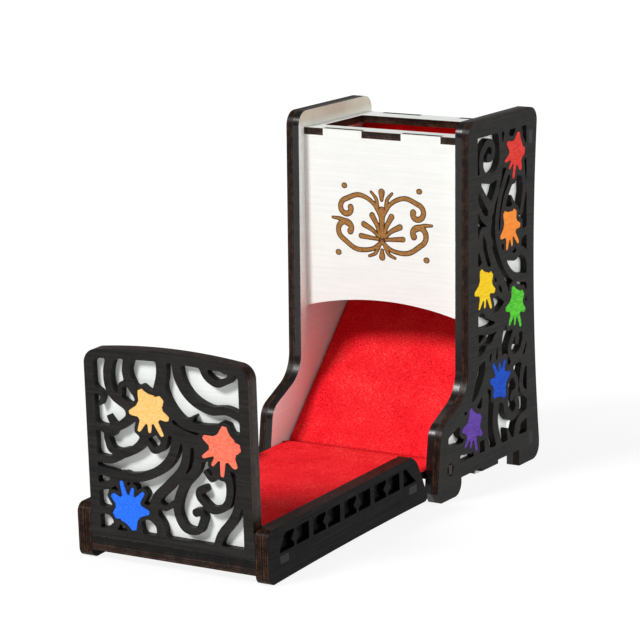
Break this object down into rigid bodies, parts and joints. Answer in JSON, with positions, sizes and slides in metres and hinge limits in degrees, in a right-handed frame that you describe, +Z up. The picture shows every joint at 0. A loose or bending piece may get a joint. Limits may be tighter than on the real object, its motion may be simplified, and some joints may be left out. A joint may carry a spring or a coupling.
{
  "type": "folding dice tower",
  "caption": "Folding plywood dice tower with fretwork side walls, felt ramps inside and a hinged felt-lined tray whose end panel becomes the lid.",
  "frame": {"origin": "on the table, in the middle of the deployed object", "axes": "+X to the right as seen from the tray, +Y from the tray to the tower, +Z up"},
  "size_m": [0.086, 0.2204, 0.152],
  "materials": {
    "bare_ply": "bare birch plywood under the felt",
    "black_ply": "black stained birch plywood, laser cut, satin",
    "blue_paint": "painted plywood inlay",
    "bright_blue_paint": "painted plywood inlay",
    "coral_paint": "painted plywood inlay",
    "green_paint": "painted plywood inlay",
    "light_orange_paint": "painted plywood inlay",
    "orange_paint": "painted plywood inlay",
    "purple_paint": "painted plywood inlay",
    "red_felt": "short-haired red felt",
    "red_paint": "painted plywood inlay",
    "white_ply": "white painted plywood with a faint grain and burnt edges",
    "yellow_paint": "painted plywood inlay"
  },
  "bodies": {
    "tower": {"back_panel": "white_ply", "blot_blue_left": "blue_paint", "blot_blue_right": "blue_paint", "blot_green_left": "green_paint", "blot_green_right": "green_paint", "blot_orange_left": "orange_paint", "blot_orange_right": "orange_paint", "blot_purple_left": "purple_paint", "blot_purple_right": "purple_paint", "blot_red_left": "red_paint", "blot_red_right": "red_paint", "blot_yellow_left": "yellow_paint", "blot_yellow_right": "yellow_paint", "exit_ramp": "bare_ply", "exit_ramp_felt": "red_felt", "front_panel": "white_ply", "middle_ramp": "bare_ply", "middle_ramp_felt": "red_felt", "rear_rail": "black_ply", "top_frame": "white_ply", "upper_ramp": "bare_ply", "upper_ramp_felt": "red_felt", "wall_inner_left": "white_ply", "wall_inner_right": "white_ply", "wall_outer_left": "black_ply", "wall_outer_right": "black_ply"},
    "tray": {"blot_blue_end": "bright_blue_paint", "blot_orange_end": "light_orange_paint", "blot_red_end": "coral_paint", "end_backing": "white_ply", "end_fret": "black_ply", "hinge_bar": "black_ply", "rail_inner_left": "black_ply", "rail_inner_right": "black_ply", "rail_outer_left": "black_ply", "rail_outer_right": "black_ply", "tray_base": "black_ply", "tray_felt": "red_felt", "tray_floor": "black_ply"}
  },
  "joints": [
    {"name": "tray_fold", "type": "hinge", "parent": "tower", "child": "tray", "pos_m": [0, 0.03134, 0.0124], "axis": [-1, 0, 0], "range_deg": [0, 91.82]}
  ]
}
